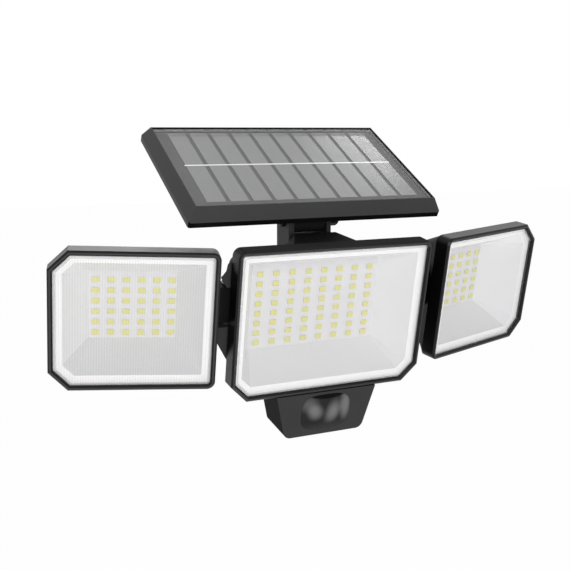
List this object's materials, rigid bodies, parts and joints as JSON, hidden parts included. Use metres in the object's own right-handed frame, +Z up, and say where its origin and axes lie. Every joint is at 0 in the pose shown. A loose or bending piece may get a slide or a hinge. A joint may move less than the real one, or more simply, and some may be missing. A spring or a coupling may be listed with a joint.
{
  "type": "motion sensor security light",
  "caption": "Wall-mounted solar security light: a centre head with a motion sensor and a hinged head at each side under a tilting solar panel on a post",
  "frame": {"origin": "centre of the wall plate's back face, which is the centre of its four screw holes", "axes": "+Z up, the lamp's front faces -Y, +X to the right seen from the front, +Y points into the wall"},
  "size_m": [0.319, 0.121, 0.1823],
  "materials": {
    "black_plastic": "fine satin moulding",
    "clear_cover": "clear, with fine upright prisms",
    "white_reflector": "white, smooth",
    "white_board": "white solder resist",
    "phosphor": "yellow phosphor in a white case",
    "rubber_seal": "matt",
    "screw_steel": "bright zinc",
    "spring_metal": "nickel",
    "panel_glass": "clear, smooth",
    "solar_cell": "dark silicon",
    "busbar": "tinned",
    "backsheet": "matt",
    "battery_can": "wrapped cell",
    "smoked_lens": "smoked, glossy",
    "sensor_can": "plated",
    "circuit_board": "green solder resist",
    "button_rubber": "soft",
    "white_washer": "low-friction plastic"
  },
  "bodies": {
    "bracket": {"wall_bracket": "black_plastic", "panel_post": "black_plastic", "post_screws": "screw_steel", "panel_hinge_bolt": "screw_steel", "panel_hinge_nut": "screw_steel"},
    "panel": {"panel_frame": "black_plastic", "panel_glass": "panel_glass", "solar_cells": "solar_cell", "cell_busbars": "busbar", "cell_backsheet": "backsheet", "panel_seal": "rubber_seal", "panel_back_cover": "black_plastic", "panel_screws": "screw_steel"},
    "lamp": {"centre_front_frame": "black_plastic", "centre_lens_cover": "clear_cover", "centre_reflector": "white_reflector", "centre_led_board": "white_board", "centre_leds": "phosphor", "centre_seal": "rubber_seal", "centre_back_shell": "black_plastic", "centre_screws": "screw_steel", "lamp_hinge_bolt": "screw_steel", "lamp_hinge_nut": "screw_steel", "lamp_friction_discs": "rubber_seal", "battery_cell": "battery_can", "battery_contacts": "spring_metal", "battery_cover": "black_plastic", "battery_cover_screws": "screw_steel", "sensor_housing": "black_plastic", "sensor_window": "smoked_lens", "sensor_element": "sensor_can", "sensor_board": "circuit_board", "mode_switch": "circuit_board", "right_hinge_pin": "screw_steel", "right_hinge_washers": "white_washer", "left_hinge_pin": "screw_steel", "left_hinge_washers": "white_washer"},
    "right_head": {"right_front_frame": "black_plastic", "right_lens_cover": "clear_cover", "right_reflector": "white_reflector", "right_led_board": "white_board", "right_leds": "phosphor", "right_seal": "rubber_seal", "right_back_shell": "black_plastic", "right_screws": "screw_steel"},
    "left_head": {"left_front_frame": "black_plastic", "left_lens_cover": "clear_cover", "left_reflector": "white_reflector", "left_led_board": "white_board", "left_leds": "phosphor", "left_seal": "rubber_seal", "left_back_shell": "black_plastic", "left_screws": "screw_steel"},
    "button": {"mode_button": "button_rubber"}
  },
  "joints": [
    {"name": "lamp_tilt", "type": "hinge", "parent": "bracket", "child": "lamp", "pos_m": [0, -0.073, 0.027], "axis": [1, 0, 0], "range_deg": [-10, 30]},
    {"name": "panel_tilt", "type": "hinge", "parent": "bracket", "child": "panel", "pos_m": [0, -0.073, 0.065], "axis": [1, 0, 0], "range_deg": [-30, 15]},
    {"name": "right_turn", "type": "hinge", "parent": "lamp", "child": "right_head", "pos_m": [0.0576, -0.09433, 0.01813], "axis": [0, -0.1762, 0.9843], "range_deg": [-20, 35]},
    {"name": "left_turn", "type": "hinge", "parent": "lamp", "child": "left_head", "pos_m": [-0.0576, -0.09433, 0.01813], "axis": [0, -0.1762, 0.9843], "range_deg": [-35, 20]},
    {"name": "button_press", "type": "slide", "parent": "lamp", "child": "button", "axis": [0, -0.1762, 0.9843], "range_m": [0, 0.0012], "stiffness_N_per_m": 800}
  ]
}
